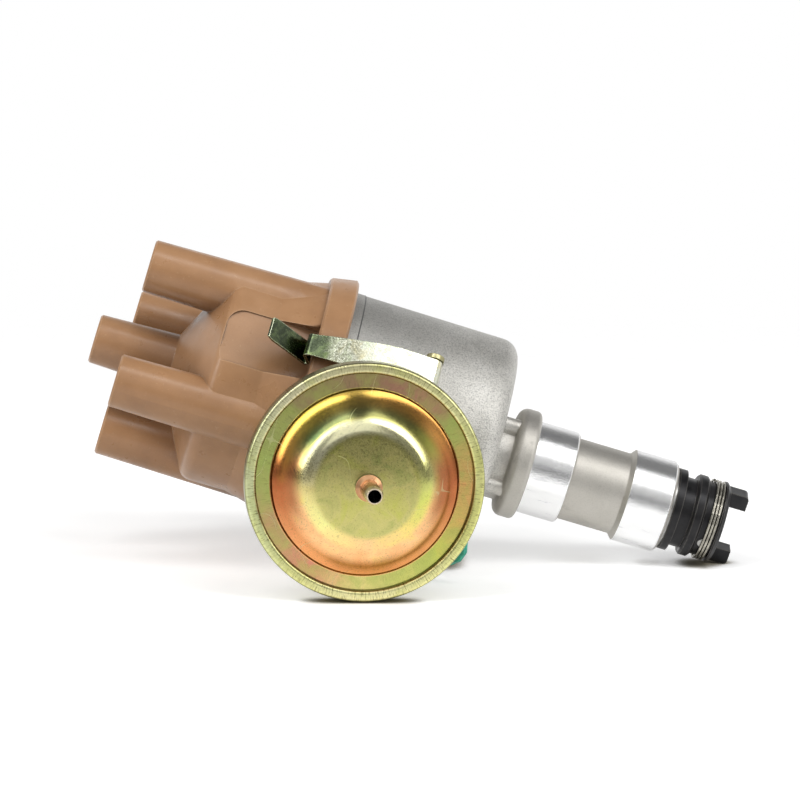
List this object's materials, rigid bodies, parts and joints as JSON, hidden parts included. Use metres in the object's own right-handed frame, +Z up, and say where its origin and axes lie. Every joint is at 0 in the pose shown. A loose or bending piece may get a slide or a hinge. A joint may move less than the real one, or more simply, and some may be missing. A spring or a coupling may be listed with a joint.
{
  "type": "ignition distributor",
  "caption": "Contact-breaker ignition distributor: moulded cap with lead towers, cast bowl with a shank, round vacuum advance capsule, spring clips and a dog drive coupling.",
  "frame": {"origin": "on the drive shaft's axis, at the face of the collar that seats on the engine", "axes": "+Z up the shaft to the cap, -Y out along the vacuum capsule's axis, +X completes a right-handed frame"},
  "size_m": [0.0818, 0.1261, 0.1933],
  "materials": {
    "cap": "satin phenolic moulding, tan-brown",
    "brass": "bright",
    "carbon": "matt",
    "rotor": "satin",
    "casting": "die-cast, fine grain, with machined lands",
    "bronze": "sintered bronze",
    "steel": "machined",
    "spring": "bright drawn wire and strip",
    "zinc": "yellow passivated zinc plate with iridescent patches",
    "clip": "bright plate",
    "black": "black oxide, satin",
    "rubber": "matt",
    "felt": "oiled felt",
    "insulator": "satin",
    "fibre": "satin",
    "lead": "teal insulation"
  },
  "bodies": {
    "housing": {"housing": "casting", "upper_bush": "bronze", "lower_bush": "bronze", "distributor_cap": "cap", "cap_side_terminals": "brass", "cap_centre_terminal": "brass", "carbon_brush": "carbon", "brush_spring": "spring", "thrust_washer": "bronze", "base_plate": "zinc", "base_plate_screws": "steel", "vacuum_rear_shell": "zinc", "vacuum_front_dome": "zinc", "vacuum_nipple": "brass", "diaphragm": "rubber", "vacuum_return_spring": "spring", "vacuum_bracket": "zinc", "vacuum_screws": "steel", "front_clip_bracket": "zinc", "front_clip_pin": "steel", "rear_clip_bracket": "zinc", "rear_clip_pin": "steel", "clip_rivets": "steel", "condenser_can": "steel", "condenser_strap": "zinc", "condenser_screw": "steel", "condenser_lead": "lead", "terminal_block": "insulator", "spade_terminal": "brass"},
    "shaft": {"drive_shaft": "steel", "end_shim": "steel", "weight_plate": "steel", "advance_spring_a": "spring", "advance_spring_b": "spring", "cam_screw": "steel", "felt_pad": "felt", "drive_coupling": "black", "coupling_pin": "steel", "coupling_spring_ring": "spring"},
    "cam": {"cam_sleeve": "steel", "rotor_body": "rotor", "rotor_electrode": "brass"},
    "weight_a": {"weight_a": "steel"},
    "weight_b": {"weight_b": "steel"},
    "vacuum_rod": {"pull_rod": "steel", "diaphragm_piston": "steel"},
    "breaker_plate": {"breaker_plate": "zinc", "fixed_contact": "steel", "fixed_contact_screw": "steel", "contact_pivot_post": "steel"},
    "contact_arm": {"contact_arm": "fibre", "contact_spring": "spring"},
    "front_clip": {"front_clip": "clip"},
    "rear_clip": {"rear_clip": "clip"}
  },
  "joints": [
    {"name": "shaft_spin", "type": "hinge", "parent": "housing", "child": "shaft", "pos_m": [0, 0, 0], "axis": [0, 0, -1], "continuous": true},
    {"name": "cam_advance", "type": "hinge", "parent": "shaft", "child": "cam", "pos_m": [0, 0, 0], "axis": [0, 0, -1], "range_deg": [0, 12.11]},
    {"name": "weight_a_swing", "type": "hinge", "parent": "shaft", "child": "weight_a", "pos_m": [0.02, 0, 0.0186], "axis": [0, 0, 1], "range_deg": [0, 10], "stiffness_Nm_per_rad": 0.02},
    {"name": "weight_b_swing", "type": "hinge", "parent": "shaft", "child": "weight_b", "pos_m": [-0.02, 0, 0.0186], "axis": [0, 0, 1], "range_deg": [0, 10]},
    {"name": "vacuum_pull", "type": "slide", "parent": "housing", "child": "vacuum_rod", "axis": [0, -1, 0], "range_m": [0, 0.00456], "stiffness_N_per_m": 400, "deforming": ["vacuum_return_spring"]},
    {"name": "plate_advance", "type": "hinge", "parent": "housing", "child": "breaker_plate", "pos_m": [0, 0, 0.045], "axis": [0, 0, 1], "range_deg": [0, 12]},
    {"name": "points_open", "type": "hinge", "parent": "breaker_plate", "child": "contact_arm", "pos_m": [0.00212, 0.01909, 0.0498], "axis": [0, 0, 1], "range_deg": [0, 8], "stiffness_Nm_per_rad": 0.02},
    {"name": "front_clip_hinge", "type": "hinge", "parent": "housing", "child": "front_clip", "pos_m": [0.01878, -0.03458, 0.0366], "axis": [0.8788, 0.4772, 0], "range_deg": [0, 100]},
    {"name": "rear_clip_hinge", "type": "hinge", "parent": "housing", "child": "rear_clip", "pos_m": [-0.01878, 0.03458, 0.0366], "axis": [-0.8788, -0.4772, 0], "range_deg": [0, 100]}
  ],
  "couplings": [
    {"joint": "weight_b_swing", "follows": "weight_a_swing", "ratio": 1},
    {"joint": "cam_advance", "follows": "weight_a_swing", "ratio": 1.2105},
    {"joint": "plate_advance", "follows": "vacuum_pull", "rad_per_m": 45.956}
  ]
}
